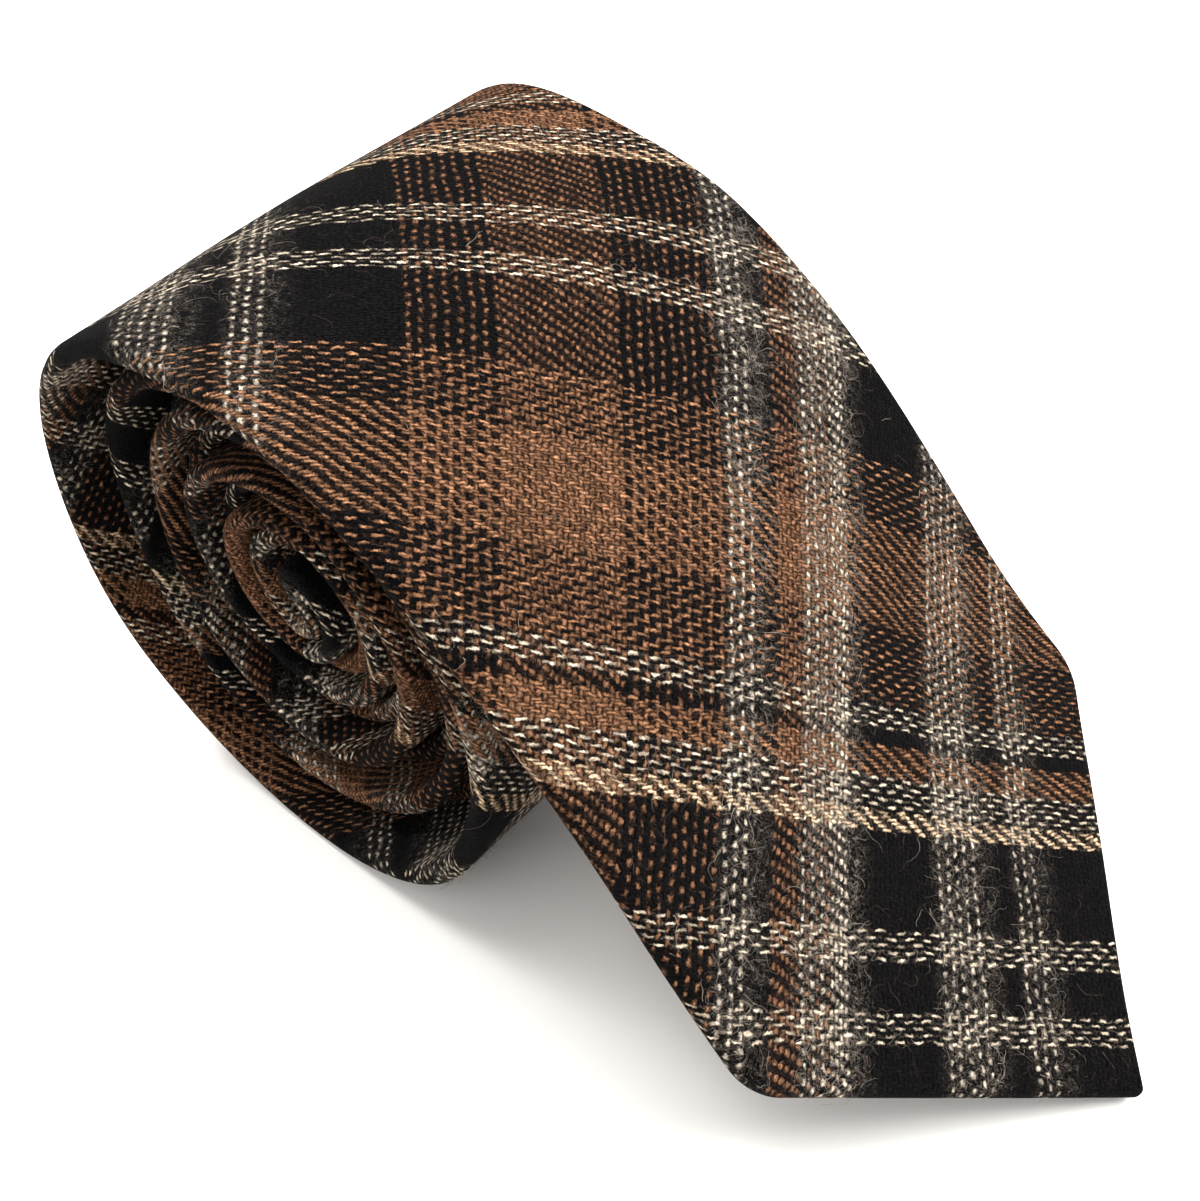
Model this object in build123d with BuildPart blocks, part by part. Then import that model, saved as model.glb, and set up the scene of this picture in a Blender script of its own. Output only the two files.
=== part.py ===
"""A rolled plaid necktie, folded once and rolled from the fold, with its wide blade falling free at the front.

Millimetres. X runs along the roll and across the tie, the blade falls towards -Y, Z is up.
The origin is the bottom centre of the whole tie.  The tie is one long strip: every piece is a layer of
it, placed by its station (length along the middle of the tie from the blade's point) and by its depth
(distance behind the front cloth's outer face).
"""
from collections import namedtuple
from math import cos, degrees, radians, sin, sqrt
import os

from build123d import *

os.makedirs("parts", exist_ok=True)

# Widths of the flat tie
BLADE_WIDTH = 76.0
NECK_WIDTH = 37.0
TAIL_WIDTH = 44.0
POINT_BLUNTNESS = 0.6      # half-width left at the very end of a 90 degree point

# Layers through the tie
CLOTH = 0.75
INTERLINING = 1.0
LAYER_CLEARANCE = 0.1      # between the cloth and the interlining, each side
TIPPING = 0.2
TIPPING_CLEARANCE = 0.05
EDGE_CLEARANCE = 0.4       # between the interlining's edge and the fold of the shell

# The roll
ROLL_RADIUS = 39.2         # to the front cloth of the outer turn
STRAND_GAP = 0.7           # between the folded tie's two strands, and between turns
CORE_RADIUS = 8.6          # smallest radius that the cloth is rolled to
REST_FLAT = 0.12           # depth that the soft roll flattens by where it rests
HALF_TURN_DRIFT = -1.1     # how far each half turn inside the outer one slips sideways
TAIL_SETBACK = 6.0         # from the tail's point to where the blade leaves the roll

# The free blade, as slopes above the table, in degrees
LEAVE_SLOPE = 28.5
STEEPEST_SLOPE = 51.0
TIP_SLOPE = 28.0
FALL_RADIUS = 130.0

# Where the soft blade bends, from its point
TIP_BEND = 60.0
BEND_CLEARANCE = 0.3

# Sewing
SEAM_SLIT = 0.6            # between the two turned-back edges along the centre of the back
THREAD = 0.4
STITCH_CLEARANCE = 0.1
HEM = 10.0                 # turned-back edge along each point
BLADE_GABLE = 58.0         # station where the blade's turned-back edges meet
TAIL_GABLE = 36.0          # the same, from the tail's point
WINDOW_SHARE = 0.6         # width of the open lining over the tie's width
TIPPING_TUCK = 4.0         # lining hidden under the turned-back edges
BAR_TACK_LENGTH = 1.6
BAR_TACK_WIDTH = 9.0
BAR_TACK_SETBACK = 4.0     # from the gable to the bar tack
PIECING_GAP = 0.3
BLADE_SEAM_TO_FOLD = 18.0
FOLD_TO_TAIL_SEAM = 235.0

# Keeper loop and labels, on the back of the blade
LOOP_STATION = 188.0
LOOP_LENGTH = 9.0
LOOP_WIDTH = 44.0
LOOP_THICKNESS = 0.3
LABEL_STATION = 204.0
LABEL_LENGTH = 28.0
LABEL_WIDTH = 46.0
CARE_STATION = 262.0
CARE_LENGTH = 24.0
CARE_WIDTH = 16.0
LABEL_THICKNESS = 0.2
TACK_THICKNESS = 0.15
TACK_LENGTH = 1.0
TACK_INSET = 1.5

TOLERANCE = 1e-6
THICKNESS = 2 * CLOTH + 2 * LAYER_CLEARANCE + INTERLINING
STRAND_PITCH = THICKNESS + STRAND_GAP

# An arc of the rolled strip, seen along X.  radius is at the front face; bend is +1 where the cloth
# curls round its back, so that deeper layers lie on a smaller radius, and -1 where it curls forward.
# The strip's middle runs sideways from drift to drift_end.
Arc = namedtuple("Arc", "y z radius bend angle sweep drift drift_end")


def unit(angle):
    """The direction at an angle in degrees, as (y, z)."""
    return cos(radians(angle)), sin(radians(angle))


def arc_point(arc, angle, depth):
    """The point of an arc at an angle and a depth, as (y, z)."""
    reach = arc.radius - arc.bend * depth
    return arc.y + reach * unit(angle)[0], arc.z + reach * unit(angle)[1]


def arc_length(arc):
    """Length of an arc along the middle of the tie."""
    return (arc.radius - arc.bend * THICKNESS / 2) * radians(abs(arc.sweep))


def half_turns():
    """The outer strand's half turns, from where the blade leaves the roll to the fold at the core."""
    count = int((ROLL_RADIUS - CORE_RADIUS) / STRAND_PITCH) + 1
    leave = 90 + LEAVE_SLOPE
    z = ROLL_RADIUS - STRAND_PITCH + STRAND_PITCH * unit(leave)[1] - REST_FLAT
    y = 0.0
    arcs = []
    for turn in range(count):
        angle = leave - 180 * turn
        drift = HALF_TURN_DRIFT * max(turn - 1, 0)
        drift_end = HALF_TURN_DRIFT * turn
        arcs.append(Arc(y, z, ROLL_RADIUS - turn * STRAND_PITCH, 1, angle, -180, drift, drift_end))
        y += STRAND_PITCH * unit(angle - 180)[0]
        z += STRAND_PITCH * unit(angle - 180)[1]
    return arcs


def free_blade(outer):
    """The falling blade's two arcs, from its point on the table up to the roll."""
    leave_y, leave_z = arc_point(outer, outer.angle, 0)
    leave, steep, tip = unit(90 + LEAVE_SLOPE), unit(90 + STEEPEST_SLOPE), unit(90 + TIP_SLOPE)
    fall_y, fall_z = leave_y - FALL_RADIUS * leave[0], leave_z - FALL_RADIUS * leave[1]
    joint_y, joint_z = fall_y + FALL_RADIUS * steep[0], fall_z + FALL_RADIUS * steep[1]
    # the flare's radius is the one that brings the point's back down to the table
    flare = (joint_z - THICKNESS * tip[1]) / (tip[1] - steep[1])
    turn = STEEPEST_SLOPE - TIP_SLOPE
    return [
        Arc(joint_y + flare * steep[0], joint_z + flare * steep[1], flare, -1, TIP_SLOPE - 90, turn, 0, 0),
        Arc(fall_y, fall_z, FALL_RADIUS, 1, 90 + STEEPEST_SLOPE, LEAVE_SLOPE - STEEPEST_SLOPE, 0, 0),
    ]


def whole_route():
    """Every arc of the tie in order: free blade, outer strand, fold at the core, inner strand."""
    rolled = half_turns()
    core = rolled[-1]
    end = core.angle + core.sweep
    fold_y, fold_z = arc_point(core, end, THICKNESS + STRAND_GAP / 2)
    fold = Arc(fold_y, fold_z, THICKNESS + STRAND_GAP / 2, 1, end, -180, core.drift_end, core.drift_end)
    inner = []
    for arc in reversed(rolled):
        radius = arc.radius - 2 * THICKNESS - STRAND_GAP
        inner.append(Arc(arc.y, arc.z, radius, -1, arc.angle + arc.sweep, 180, arc.drift_end, arc.drift))
    last = inner[-1]
    setback = degrees(TAIL_SETBACK / (last.radius + THICKNESS / 2))
    inner[-1] = last._replace(sweep=last.sweep - setback)
    arcs = free_blade(rolled[0]) + rolled + [fold] + inner
    # the whole tie is centred on Y: its point is the front, the outer turn is the back
    front = arc_point(arcs[0], arcs[0].angle, 0)[0]
    middle = (front + ROLL_RADIUS) / 2
    return [arc._replace(y=arc.y - middle) for arc in arcs]


ROUTE = whole_route()
LENGTHS = [arc_length(arc) for arc in ROUTE]
TOTAL = sum(LENGTHS)
ROLL_BEND = sum(LENGTHS[:2])                       # station where the blade leaves the roll
FOLD = sum(LENGTHS[: (len(ROUTE) - 1) // 2 + 1])   # station where the fold at the core begins
TAIL_POINT = TOTAL
BLADE_SEAM = FOLD - BLADE_SEAM_TO_FOLD
TAIL_SEAM = FOLD + FOLD_TO_TAIL_SEAM


def outline(margin):
    """Half-widths of the tie by station, drawn in by a margin all round."""
    lead = margin * sqrt(2)
    blade = BLADE_WIDTH / 2 - margin
    tail = TAIL_WIDTH / 2 - margin
    return [
        (lead, POINT_BLUNTNESS),
        (blade + lead, blade),
        (FOLD, NECK_WIDTH / 2 - margin),
        (TAIL_POINT - tail - lead, tail),
        (TAIL_POINT - lead, POINT_BLUNTNESS),
    ]


def even(half_width):
    """A strip of one width all along."""
    return [(0.0, half_width), (TOTAL, half_width)]


def diamond(point, side, width, gable, grow):
    """The open lining behind a point: from the hem, out to its widest, in to where the edges meet."""
    half = width / 2 * WINDOW_SHARE
    stations = [
        (point + side * (HEM * sqrt(2) - grow), POINT_BLUNTNESS),
        (point + side * (HEM * sqrt(2) + half), half + grow),
        (point + side * (gable + grow), POINT_BLUNTNESS),
    ]
    return sorted(stations)


def half_width(profile, station):
    """The half-width of a profile at a station."""
    for (first, near), (last, far) in zip(profile, profile[1:]):
        if first <= station <= last:
            return near + (far - near) * (station - first) / (last - first)
    return profile[0][1] if station < profile[0][0] else profile[-1][1]


def spans(start, end, profile):
    """The pieces of the route between two stations, cut again at each corner of the profile."""
    found = []
    begin = 0.0
    for arc, length in zip(ROUTE, LENGTHS):
        low, high = max(start, begin), min(end, begin + length)
        if low < high:
            corners = [station for station, _ in profile if low + TOLERANCE < station < high - TOLERANCE]
            cuts = [low, *sorted(corners), high]
        else:
            cuts = []
        for first, last in zip(cuts, cuts[1:]):
            angle = arc.angle + arc.sweep * (first - begin) / length
            sweep = arc.sweep * (last - first) / length
            drift = arc.drift + (arc.drift_end - arc.drift) * (first - begin) / length
            drift_end = arc.drift + (arc.drift_end - arc.drift) * (last - begin) / length
            part_arc = arc._replace(angle=angle, sweep=sweep, drift=drift, drift_end=drift_end)
            found.append((part_arc, first, last))
        begin += length
    return found


def layer_piece(arc, top, bottom, near, far):
    """One solid piece of a layer, between two depths, tapering from one half-width to the other."""
    end = arc.angle + arc.sweep
    with BuildPart() as piece:
        with BuildSketch(Plane.YZ):
            with BuildLine():
                for depth in (top, bottom):
                    CenterArc((arc.y, arc.z), arc.radius - arc.bend * depth, arc.angle, arc.sweep)
                for angle in (arc.angle, end):
                    Line(arc_point(arc, angle, top), arc_point(arc, angle, bottom))
            make_face()
        extrude(amount=max(near, far) + max(abs(arc.drift), abs(arc.drift_end)) + 1, both=True)
        y, z = arc_point(arc, arc.angle, THICKNESS / 2)
        end_y, end_z = arc_point(arc, end, THICKNESS / 2)
        run_y, run_z = end_y - y, end_z - z
        for side in (-1, 1):
            slant = side * (far - near) + arc.drift_end - arc.drift
            outward = (side * (run_y**2 + run_z**2), -side * slant * run_y, -side * slant * run_z)
            split(bisect_by=Plane((side * near + arc.drift, y, z), z_dir=outward), keep=Keep.BOTTOM)
    return piece.part


def layer(start, end, top, bottom, profile):
    """The pieces of a layer of the tie between two stations and two depths."""
    return [
        layer_piece(arc, top, bottom, half_width(profile, first), half_width(profile, last))
        for arc, first, last in spans(start, end, profile)
    ]


def shell_piece(start, end, windows):
    """A short length of shell: cloth turned round both edges to the back, with a slit along the seam."""
    behind = THICKNESS - CLOTH - LAYER_CLEARANCE / 2
    outside = THICKNESS + STRAND_GAP / 4
    slit_start, slit_end = max(start, BLADE_GABLE), min(end, TAIL_POINT - TAIL_GABLE)
    with BuildPart() as piece:
        add(layer(start, end, 0, THICKNESS, outline(0)))
        add(layer(max(start, HOLLOW[0][0]), min(end, HOLLOW[-1][0]), CLOTH, THICKNESS - CLOTH, HOLLOW),
            mode=Mode.SUBTRACT)
        if slit_start < slit_end:
            add(layer(slit_start, slit_end, behind, outside, even(SEAM_SLIT / 2)), mode=Mode.SUBTRACT)
        for window in windows:
            first, last = max(start, window[0][0]), min(end, window[-1][0])
            if first < last:
                add(layer(first, last, behind, outside, window), mode=Mode.SUBTRACT)
    return piece.part


def shell(start, end, windows=()):
    """The pieces of a shell between two stations."""
    return [shell_piece(first, last, windows) for _, first, last in spans(start, end, outline(0))]


HOLLOW = outline(CLOTH)
BLADE_WINDOW = diamond(0.0, 1, BLADE_WIDTH, BLADE_GABLE, 0.0)
BLADE_LINING = diamond(0.0, 1, BLADE_WIDTH, BLADE_GABLE, TIPPING_TUCK)
TAIL_WINDOW = diamond(TAIL_POINT, -1, TAIL_WIDTH, TAIL_GABLE, 0.0)
TAIL_LINING = diamond(TAIL_POINT, -1, TAIL_WIDTH, TAIL_GABLE, TIPPING_TUCK)

CORE_TOP = CLOTH + LAYER_CLEARANCE
CORE_BOTTOM = THICKNESS - CLOTH - LAYER_CLEARANCE
LINED_BOTTOM = THICKNESS - CLOTH - TIPPING - 2 * TIPPING_CLEARANCE   # interlining under a lining
LINING_TOP = THICKNESS - CLOTH - TIPPING - TIPPING_CLEARANCE
INTERLINING_OUTLINE = outline(CLOTH + EDGE_CLEARANCE)
THREAD_TOP = THICKNESS - CLOTH + STITCH_CLEARANCE
THREAD_BOTTOM = THICKNESS - STITCH_CLEARANCE

# ---------------------------------------------------------------- the blade's point

tip_cloth = shell(0.0, TIP_BEND - BEND_CLEARANCE / 2, [BLADE_WINDOW])
with BuildPart() as blade_shell_tip:
    add(tip_cloth)
blade_shell_tip.part.label = "blade_shell_tip"
export_step(blade_shell_tip.part, "parts/blade_shell_tip.step")

tip_core = layer(
    INTERLINING_OUTLINE[0][0], TIP_BEND - BEND_CLEARANCE / 2, CORE_TOP, LINED_BOTTOM, INTERLINING_OUTLINE
)
with BuildPart() as interlining_tip:
    add(tip_core)
interlining_tip.part.label = "interlining_tip"
export_step(interlining_tip.part, "parts/interlining_tip.step")

lining_end = min(BLADE_LINING[-1][0], TIP_BEND - BEND_CLEARANCE / 2)
blade_lining = layer(BLADE_LINING[0][0], lining_end, LINING_TOP, LINING_TOP + TIPPING, BLADE_LINING)
with BuildPart() as blade_tipping:
    add(blade_lining)
blade_tipping.part.label = "blade_tipping"
export_step(blade_tipping.part, "parts/blade_tipping.step")

# ---------------------------------------------------------------- the fall between the point and the roll

fall_start = TIP_BEND + BEND_CLEARANCE / 2
fall_end = ROLL_BEND - BEND_CLEARANCE / 2
fall_cloth = shell(fall_start, fall_end)
with BuildPart() as blade_shell_fall:
    add(fall_cloth)
blade_shell_fall.part.label = "blade_shell_fall"
export_step(blade_shell_fall.part, "parts/blade_shell_fall.step")

fall_core = layer(fall_start, fall_end, CORE_TOP, CORE_BOTTOM, INTERLINING_OUTLINE)
with BuildPart() as interlining_fall:
    add(fall_core)
interlining_fall.part.label = "interlining_fall"
export_step(interlining_fall.part, "parts/interlining_fall.step")

# A bar tack lies on the back where the two turned-back edges meet
tack_start = max(BLADE_GABLE, TIP_BEND) + BAR_TACK_SETBACK
tack = layer(
    tack_start, tack_start + BAR_TACK_LENGTH, THICKNESS, THICKNESS + THREAD / 2, even(BAR_TACK_WIDTH / 2)
)
with BuildPart() as blade_bar_tack:
    add(tack)
blade_bar_tack.part.label = "blade_bar_tack"
export_step(blade_bar_tack.part, "parts/blade_bar_tack.step")

# The slip stitch is one thread that closes the centre of the back
fall_thread = layer(fall_start, fall_end, THREAD_TOP, THREAD_BOTTOM, even(THREAD / 2))
with BuildPart() as slip_stitch_fall:
    add(fall_thread)
slip_stitch_fall.part.label = "slip_stitch_fall"
export_step(slip_stitch_fall.part, "parts/slip_stitch_fall.step")

# ---------------------------------------------------------------- the roll: three shells, pieced end to end

roll_start = ROLL_BEND + BEND_CLEARANCE / 2
blade_cloth = shell(roll_start, BLADE_SEAM - PIECING_GAP / 2)
with BuildPart() as blade_shell_rolled:
    add(blade_cloth)
    split(bisect_by=Plane.XY, keep=Keep.TOP)
blade_shell_rolled.part.label = "blade_shell_rolled"
export_step(blade_shell_rolled.part, "parts/blade_shell_rolled.step")

neck_cloth = shell(BLADE_SEAM + PIECING_GAP / 2, TAIL_SEAM - PIECING_GAP / 2)
with BuildPart() as neck_shell:
    add(neck_cloth)
neck_shell.part.label = "neck_shell"
export_step(neck_shell.part, "parts/neck_shell.step")

tail_cloth = shell(TAIL_SEAM + PIECING_GAP / 2, TAIL_POINT, [TAIL_WINDOW])
with BuildPart() as tail_shell:
    add(tail_cloth)
tail_shell.part.label = "tail_shell"
export_step(tail_shell.part, "parts/tail_shell.step")

lined_start = TAIL_LINING[0][0] - TIPPING_TUCK
rolled_core = layer(roll_start, lined_start, CORE_TOP, CORE_BOTTOM, INTERLINING_OUTLINE)
lined_core = layer(lined_start, INTERLINING_OUTLINE[-1][0], CORE_TOP, LINED_BOTTOM, INTERLINING_OUTLINE)
with BuildPart() as interlining_rolled:
    add(rolled_core)
    add(lined_core)
interlining_rolled.part.label = "interlining_rolled"
export_step(interlining_rolled.part, "parts/interlining_rolled.step")

tail_lining = layer(TAIL_LINING[0][0], TAIL_LINING[-1][0], LINING_TOP, LINING_TOP + TIPPING, TAIL_LINING)
with BuildPart() as tail_tipping:
    add(tail_lining)
tail_tipping.part.label = "tail_tipping"
export_step(tail_tipping.part, "parts/tail_tipping.step")

# ---------------------------------------------------------------- the roll: sewing

tail_tack_end = TAIL_POINT - TAIL_GABLE - BAR_TACK_SETBACK
back_thread = layer(roll_start, tail_tack_end, THREAD_TOP, THREAD_BOTTOM, even(THREAD / 2))
with BuildPart() as slip_stitch_rolled:
    add(back_thread)
slip_stitch_rolled.part.label = "slip_stitch_rolled"
export_step(slip_stitch_rolled.part, "parts/slip_stitch_rolled.step")

tail_tack = layer(
    tail_tack_end - BAR_TACK_LENGTH, tail_tack_end, THICKNESS, THICKNESS + THREAD / 2, even(BAR_TACK_WIDTH / 2)
)
with BuildPart() as tail_bar_tack:
    add(tail_tack)
tail_bar_tack.part.label = "tail_bar_tack"
export_step(tail_bar_tack.part, "parts/tail_bar_tack.step")


def piecing_thread(station):
    """The row of thread that joins two shells: one run in the front cloth, one in the back."""
    thread = PIECING_GAP - STITCH_CLEARANCE
    width = outline(CLOTH + EDGE_CLEARANCE)
    start, end = station - thread / 2, station + thread / 2
    front = layer(start, end, STITCH_CLEARANCE, CLOTH - STITCH_CLEARANCE, width)
    # the back's run stops each side of the slip stitch
    back = layer(start, end, THREAD_TOP, THREAD_BOTTOM, width)
    gap = layer(start, end, THREAD_TOP, THREAD_BOTTOM, even(SEAM_SLIT / 2))
    return front + back, gap


seam_thread, seam_gap = piecing_thread(BLADE_SEAM)
with BuildPart() as blade_neck_seam:
    add(seam_thread)
    add(seam_gap, mode=Mode.SUBTRACT)
blade_neck_seam.part.label = "blade_neck_seam"
export_step(blade_neck_seam.part, "parts/blade_neck_seam.step")

seam_thread, seam_gap = piecing_thread(TAIL_SEAM)
with BuildPart() as neck_tail_seam:
    add(seam_thread)
    add(seam_gap, mode=Mode.SUBTRACT)
neck_tail_seam.part.label = "neck_tail_seam"
export_step(neck_tail_seam.part, "parts/neck_tail_seam.step")

# ---------------------------------------------------------------- keeper loop and labels

loop_bottom = THICKNESS + STITCH_CLEARANCE + LOOP_THICKNESS
loop = layer(
    LOOP_STATION, LOOP_STATION + LOOP_LENGTH, THICKNESS + STITCH_CLEARANCE, loop_bottom, even(LOOP_WIDTH / 2)
)
with BuildPart() as keeper_loop:
    add(loop)
keeper_loop.part.label = "keeper_loop"
export_step(keeper_loop.part, "parts/keeper_loop.step")


def end_tacks(start, length, bottom, width):
    """The two short rows of thread at a band's left and right ends."""
    rows = layer(start, start + length, bottom, bottom + TACK_THICKNESS, even(width / 2 - TACK_INSET))
    gap = layer(
        start, start + length, bottom, bottom + TACK_THICKNESS, even(width / 2 - TACK_INSET - TACK_LENGTH)
    )
    return rows, gap


loop_rows, loop_gap = end_tacks(LOOP_STATION, LOOP_LENGTH, loop_bottom, LOOP_WIDTH)
with BuildPart() as keeper_loop_tacks:
    add(loop_rows)
    add(loop_gap, mode=Mode.SUBTRACT)
keeper_loop_tacks.part.label = "keeper_loop_tacks"
export_step(keeper_loop_tacks.part, "parts/keeper_loop_tacks.step")

label_top = THICKNESS + STITCH_CLEARANCE
label_bottom = label_top + LABEL_THICKNESS
label = layer(LABEL_STATION, LABEL_STATION + LABEL_LENGTH, label_top, label_bottom, even(LABEL_WIDTH / 2))
with BuildPart() as maker_label:
    add(label)
maker_label.part.label = "maker_label"
export_step(maker_label.part, "parts/maker_label.step")

label_rows, label_gap = end_tacks(LABEL_STATION, LABEL_LENGTH, label_bottom, LABEL_WIDTH)
with BuildPart() as maker_label_stitches:
    add(label_rows)
    add(label_gap, mode=Mode.SUBTRACT)
maker_label_stitches.part.label = "maker_label_stitches"
export_step(maker_label_stitches.part, "parts/maker_label_stitches.step")

care = layer(CARE_STATION, CARE_STATION + CARE_LENGTH, label_top, label_bottom, even(CARE_WIDTH / 2))
with BuildPart() as care_label:
    add(care)
care_label.part.label = "care_label"
export_step(care_label.part, "parts/care_label.step")

# The care label hangs from one row of thread along its upper end
care_row = layer(
    CARE_STATION + CARE_LENGTH - TACK_INSET - TACK_LENGTH,
    CARE_STATION + CARE_LENGTH - TACK_INSET,
    label_bottom,
    label_bottom + TACK_THICKNESS,
    even(CARE_WIDTH / 2 - TACK_INSET),
)
with BuildPart() as care_label_stitches:
    add(care_row)
care_label_stitches.part.label = "care_label_stitches"
export_step(care_label_stitches.part, "parts/care_label_stitches.step")
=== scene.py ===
"""A rolled plaid necktie of brushed cotton flannel, standing on a pale table.

Metres, X along the roll and across the tie, the blade falls towards -Y, Z up.  Cloth and sewing are
cut out flat in millimetres and then rolled up along the tie's own path, as the real ones are.
"""
import math

import bmesh
import bpy
import numpy as np
from mathutils import Matrix, Vector


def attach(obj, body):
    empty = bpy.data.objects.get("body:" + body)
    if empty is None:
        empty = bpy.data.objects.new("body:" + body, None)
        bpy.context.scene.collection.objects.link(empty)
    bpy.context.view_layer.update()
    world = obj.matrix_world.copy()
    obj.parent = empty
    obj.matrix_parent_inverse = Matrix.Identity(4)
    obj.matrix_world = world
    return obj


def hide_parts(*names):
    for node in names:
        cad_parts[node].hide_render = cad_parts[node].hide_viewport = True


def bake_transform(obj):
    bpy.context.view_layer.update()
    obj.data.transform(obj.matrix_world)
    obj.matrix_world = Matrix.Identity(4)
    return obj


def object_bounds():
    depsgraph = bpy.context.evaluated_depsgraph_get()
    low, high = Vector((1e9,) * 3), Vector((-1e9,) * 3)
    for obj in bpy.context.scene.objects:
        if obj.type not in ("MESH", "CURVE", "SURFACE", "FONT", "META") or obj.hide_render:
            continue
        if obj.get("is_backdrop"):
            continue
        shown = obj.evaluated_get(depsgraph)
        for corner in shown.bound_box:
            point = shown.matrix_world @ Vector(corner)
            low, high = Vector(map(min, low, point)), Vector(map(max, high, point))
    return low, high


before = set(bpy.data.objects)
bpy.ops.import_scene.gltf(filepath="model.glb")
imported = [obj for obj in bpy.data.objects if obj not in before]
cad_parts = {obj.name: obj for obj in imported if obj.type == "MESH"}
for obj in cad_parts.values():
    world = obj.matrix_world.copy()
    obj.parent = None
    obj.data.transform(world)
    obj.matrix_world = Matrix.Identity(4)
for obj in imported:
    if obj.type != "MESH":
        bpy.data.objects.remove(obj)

CAD_LOW, CAD_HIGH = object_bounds()

# ------------------------------------------------------------
# The blade's cloth: brushed cotton flannel in a 2/2 twill, cut on the bias, folded round the
# interlining on both sides and closed along the centre of the back.  The tie is folded once and
# rolled from that fold.  Three meshes, because the soft blade bends at the roll and near its point.

THICKNESS = 2.7
CLOTH = 0.75
EDGE_FOLD = 1.35            # how far in the fold at each edge is round
TIP_FOLD = 0.8              # the same at the pressed point
STRAND_PITCH = 3.4
ROLL_RADIUS = 39.2
STRAND_GAP = 0.7
CORE_RADIUS = 8.6
REST_FLAT = 0.12
HALF_TURN_DRIFT = -1.1      # how far each half turn inside the outer one slips sideways
TAIL_SETBACK = 6.0
LEAVE_SLOPE, STEEPEST_SLOPE, TIP_SLOPE = 28.5, 51.0, 28.0
FALL_RADIUS = 130.0
BLADE_HALF, NECK_HALF, TAIL_HALF = 38.0, 18.5, 22.0
TIP_ROUNDING, SHOULDER_ROUNDING = 1.1, 9.0
SEAM_HALF = 0.3             # the turned-back edges stop this far from the centre of the back
SEAM_GAP = 0.15             # half the gap between two lengths of shell
HEM = 14.1                  # from the point to the open lining
BLADE_GABLE, TAIL_GABLE = 58.0, 36.0
WINDOW_SHARE = 0.6
LOWER_END, UPPER_END = 86.0, 119.0
BLADE_SEAM_TO_FOLD, FOLD_TO_TAIL_SEAM = 18.0, 235.0


def turned(angle):
    """The direction at an angle in degrees, as (y, z)."""
    return math.cos(math.radians(angle)), math.sin(math.radians(angle))


def tie_path():
    """The tie's arcs from its point to its tail: centre y and z, radius, bend, first angle, sweep, and how
    far the strip's middle has slipped sideways at its start and at its end."""
    leave, steep, tip = turned(90 + LEAVE_SLOPE), turned(90 + STEEPEST_SLOPE), turned(90 + TIP_SLOPE)
    count = int((ROLL_RADIUS - CORE_RADIUS) / STRAND_PITCH) + 1
    y, z = 0.0, ROLL_RADIUS - STRAND_PITCH + STRAND_PITCH * leave[1] - REST_FLAT
    rolled = []
    for turn in range(count):
        angle = 90 + LEAVE_SLOPE - 180 * turn
        rolled.append([y, z, ROLL_RADIUS - turn * STRAND_PITCH, 1, angle, -180,
                       HALF_TURN_DRIFT * max(turn - 1, 0), HALF_TURN_DRIFT * turn])
        y += STRAND_PITCH * turned(angle - 180)[0]
        z += STRAND_PITCH * turned(angle - 180)[1]
    outer = rolled[0]
    fall_y = outer[0] + (ROLL_RADIUS - FALL_RADIUS) * leave[0]
    fall_z = outer[1] + (ROLL_RADIUS - FALL_RADIUS) * leave[1]
    joint_y, joint_z = fall_y + FALL_RADIUS * steep[0], fall_z + FALL_RADIUS * steep[1]
    flare = (joint_z - THICKNESS * tip[1]) / (tip[1] - steep[1])
    blade = [
        [joint_y + flare * steep[0], joint_z + flare * steep[1], flare, -1, TIP_SLOPE - 90,
         STEEPEST_SLOPE - TIP_SLOPE, 0, 0],
        [fall_y, fall_z, FALL_RADIUS, 1, 90 + STEEPEST_SLOPE, LEAVE_SLOPE - STEEPEST_SLOPE, 0, 0],
    ]
    core = rolled[-1]
    end = turned(core[4] + core[5])
    radius = THICKNESS + STRAND_GAP / 2
    reach = core[2] - radius
    fold = [core[0] + reach * end[0], core[1] + reach * end[1], radius, 1, core[4] + core[5], -180,
            core[7], core[7]]
    inner = [
        [arc[0], arc[1], arc[2] - 2 * THICKNESS - STRAND_GAP, -1, arc[4] + arc[5], 180, arc[7], arc[6]]
        for arc in reversed(rolled)
    ]
    inner[-1][5] -= math.degrees(TAIL_SETBACK / (inner[-1][2] + THICKNESS / 2))
    path = np.array(blade + rolled + [fold] + inner)
    # the outer turn's furthest point is the CAD model's
    path[:, 0] += CAD_HIGH.y * 1000 - ROLL_RADIUS
    return path


PATH = tie_path()
LENGTHS = (PATH[:, 2] - PATH[:, 3] * THICKNESS / 2) * np.radians(abs(PATH[:, 5]))
STARTS = np.concatenate([[0.0], np.cumsum(LENGTHS)[:-1]])
TOTAL = LENGTHS.sum()
FOLD = STARTS[len(PATH) // 2 + 1]
BLADE_SEAM = FOLD - BLADE_SEAM_TO_FOLD
TAIL_SEAM = FOLD + FOLD_TO_TAIL_SEAM
ROLL_CENTRE = (34.0, 38.0)  # y and z


def half_width(along):
    """Half the tie's width at a station, from point to point."""
    return np.interp(along, [0, BLADE_HALF, FOLD, TOTAL - TAIL_HALF, TOTAL],
                     [0, BLADE_HALF, NECK_HALF, TAIL_HALF, 0])


def eased(value, low, high):
    """0 below low, 1 above high, smooth between them."""
    share = np.clip((value - low) / (high - low), 0, 1)
    return share * share * (3 - 2 * share)


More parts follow.
